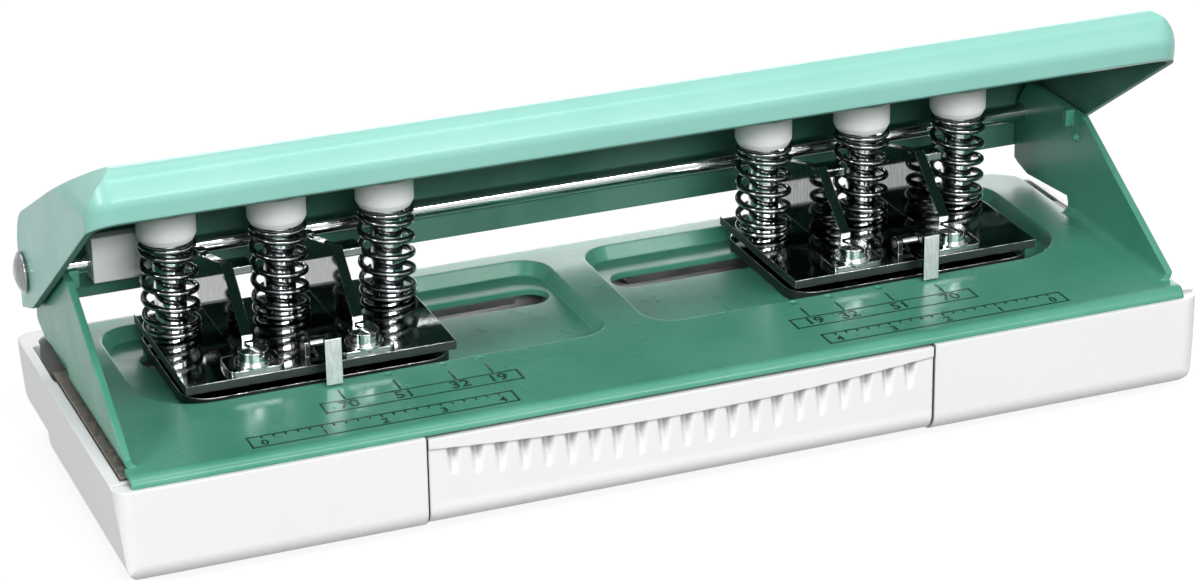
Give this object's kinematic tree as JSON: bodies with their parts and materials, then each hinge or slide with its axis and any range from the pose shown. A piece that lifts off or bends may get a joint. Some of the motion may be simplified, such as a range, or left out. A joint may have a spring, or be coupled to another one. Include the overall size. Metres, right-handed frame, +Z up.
{
  "type": "planner page punch",
  "caption": "Planner page punch with a long sprung handle, sliding punch carriages, a painted page plate and a chip tray with a hinged door.",
  "frame": {"origin": "on the table, under the middle of the base", "axes": "+X along the length, +Y from the paper side to the pivot side, +Z up"},
  "size_m": [0.1932, 0.066, 0.0661],
  "materials": {
    "white_plastic": "satin",
    "cap_plastic": "matte",
    "handle_paint": "gloss",
    "plate_paint": "gloss",
    "bare_steel": "rough",
    "chrome": "polished",
    "spring_steel": "polished",
    "rubber": "matte"
  },
  "bodies": {
    "base": {"base_tray": "white_plastic", "under_frame": "bare_steel", "base_plate": "plate_paint", "slot_rail_left": "chrome", "slot_rail_right": "chrome", "pivot_rod": "chrome", "rivet_left": "chrome", "rivet_right": "chrome", "rod_spacer": "white_plastic", "foot_front_left": "rubber", "foot_front_right": "rubber", "foot_back_left": "rubber", "foot_back_right": "rubber", "base_screw_front_left": "bare_steel", "base_screw_front_right": "bare_steel", "base_screw_back_left": "bare_steel", "base_screw_back_right": "bare_steel"},
    "handle": {"handle": "handle_paint"},
    "chip_door": {"chip_door": "white_plastic"},
    "left_carriage": {"left_die_plate": "chrome", "left_guide_plate": "chrome", "left_paper_stop": "chrome", "left_web_inner": "chrome", "left_web_outer": "chrome", "left_web_screw_inner": "chrome", "left_web_screw_outer": "chrome", "left_lever_pin": "bare_steel", "left_punch_spring_1": "spring_steel", "left_punch_spring_2": "spring_steel", "left_punch_spring_3": "spring_steel"},
    "left_lever": {"left_index_lever": "chrome"},
    "left_punch_1": {"left_punch_pin_1": "chrome", "left_punch_cap_1": "cap_plastic"},
    "left_punch_2": {"left_punch_pin_2": "chrome", "left_punch_cap_2": "cap_plastic"},
    "left_punch_3": {"left_punch_pin_3": "chrome", "left_punch_cap_3": "cap_plastic"},
    "right_carriage": {"right_die_plate": "chrome", "right_guide_plate": "chrome", "right_paper_stop": "chrome", "right_web_inner": "chrome", "right_web_outer": "chrome", "right_web_screw_inner": "chrome", "right_web_screw_outer": "chrome", "right_lever_pin": "bare_steel", "right_punch_spring_1": "spring_steel", "right_punch_spring_2": "spring_steel", "right_punch_spring_3": "spring_steel"},
    "right_lever": {"right_index_lever": "chrome"},
    "right_punch_1": {"right_punch_pin_1": "chrome", "right_punch_cap_1": "cap_plastic"},
    "right_punch_2": {"right_punch_pin_2": "chrome", "right_punch_cap_2": "cap_plastic"},
    "right_punch_3": {"right_punch_pin_3": "chrome", "right_punch_cap_3": "cap_plastic"}
  },
  "joints": [
    {"name": "handle_hinge", "type": "hinge", "parent": "base", "child": "handle", "pos_m": [0, 0.0255, 0.0319], "axis": [1, 0, 0], "range_deg": [0, 30], "stiffness_Nm_per_rad": 0.42, "springref_deg": -17.19},
    {"name": "chip_door_hinge", "type": "hinge", "parent": "base", "child": "chip_door", "pos_m": [0, -0.0295, 0.0043], "axis": [1, 0, 0], "range_deg": [0, 85]},
    {"name": "left_carriage_slide", "type": "slide", "parent": "base", "child": "left_carriage", "axis": [1, 0, 0], "range_m": [-0.002, 0.0255]},
    {"name": "left_lever_hinge", "type": "hinge", "parent": "left_carriage", "child": "left_lever", "pos_m": [-0.0534, -0.003, 0.02305], "axis": [1, 0, 0], "range_deg": [-10, 0], "stiffness_Nm_per_rad": 0.02, "springref_deg": 11.46},
    {"name": "left_punch_1_slide", "type": "slide", "parent": "left_carriage", "child": "left_punch_1", "axis": [0, 0, -1], "range_m": [0, 0.006], "deforming": ["left_punch_spring_1"]},
    {"name": "left_punch_2_slide", "type": "slide", "parent": "left_carriage", "child": "left_punch_2", "axis": [0, 0, -1], "range_m": [0, 0.006], "deforming": ["left_punch_spring_2"]},
    {"name": "left_punch_3_slide", "type": "slide", "parent": "left_carriage", "child": "left_punch_3", "axis": [0, 0, -1], "range_m": [0, 0.006], "deforming": ["left_punch_spring_3"]},
    {"name": "right_carriage_slide", "type": "slide", "parent": "base", "child": "right_carriage", "axis": [-1, 0, 0], "range_m": [-0.002, 0.0255]},
    {"name": "right_lever_hinge", "type": "hinge", "parent": "right_carriage", "child": "right_lever", "pos_m": [0.0546, -0.003, 0.02305], "axis": [1, 0, 0], "range_deg": [-10, 0], "stiffness_Nm_per_rad": 0.02, "springref_deg": 11.46},
    {"name": "right_punch_1_slide", "type": "slide", "parent": "right_carriage", "child": "right_punch_1", "axis": [0, 0, -1], "range_m": [0, 0.006], "deforming": ["right_punch_spring_1"]},
    {"name": "right_punch_2_slide", "type": "slide", "parent": "right_carriage", "child": "right_punch_2", "axis": [0, 0, -1], "range_m": [0, 0.006], "deforming": ["right_punch_spring_2"]},
    {"name": "right_punch_3_slide", "type": "slide", "parent": "right_carriage", "child": "right_punch_3", "axis": [0, 0, -1], "range_m": [0, 0.006], "deforming": ["right_punch_spring_3"]}
  ],
  "couplings": [
    {"joint": "left_punch_1_slide", "follows": "handle_hinge", "m_per_rad": 0.0109},
    {"joint": "left_punch_2_slide", "follows": "handle_hinge", "m_per_rad": 0.0109},
    {"joint": "left_punch_3_slide", "follows": "handle_hinge", "m_per_rad": 0.0109},
    {"joint": "right_punch_1_slide", "follows": "handle_hinge", "m_per_rad": 0.0109},
    {"joint": "right_punch_2_slide", "follows": "handle_hinge", "m_per_rad": 0.0109},
    {"joint": "right_punch_3_slide", "follows": "handle_hinge", "m_per_rad": 0.0109}
  ]
}
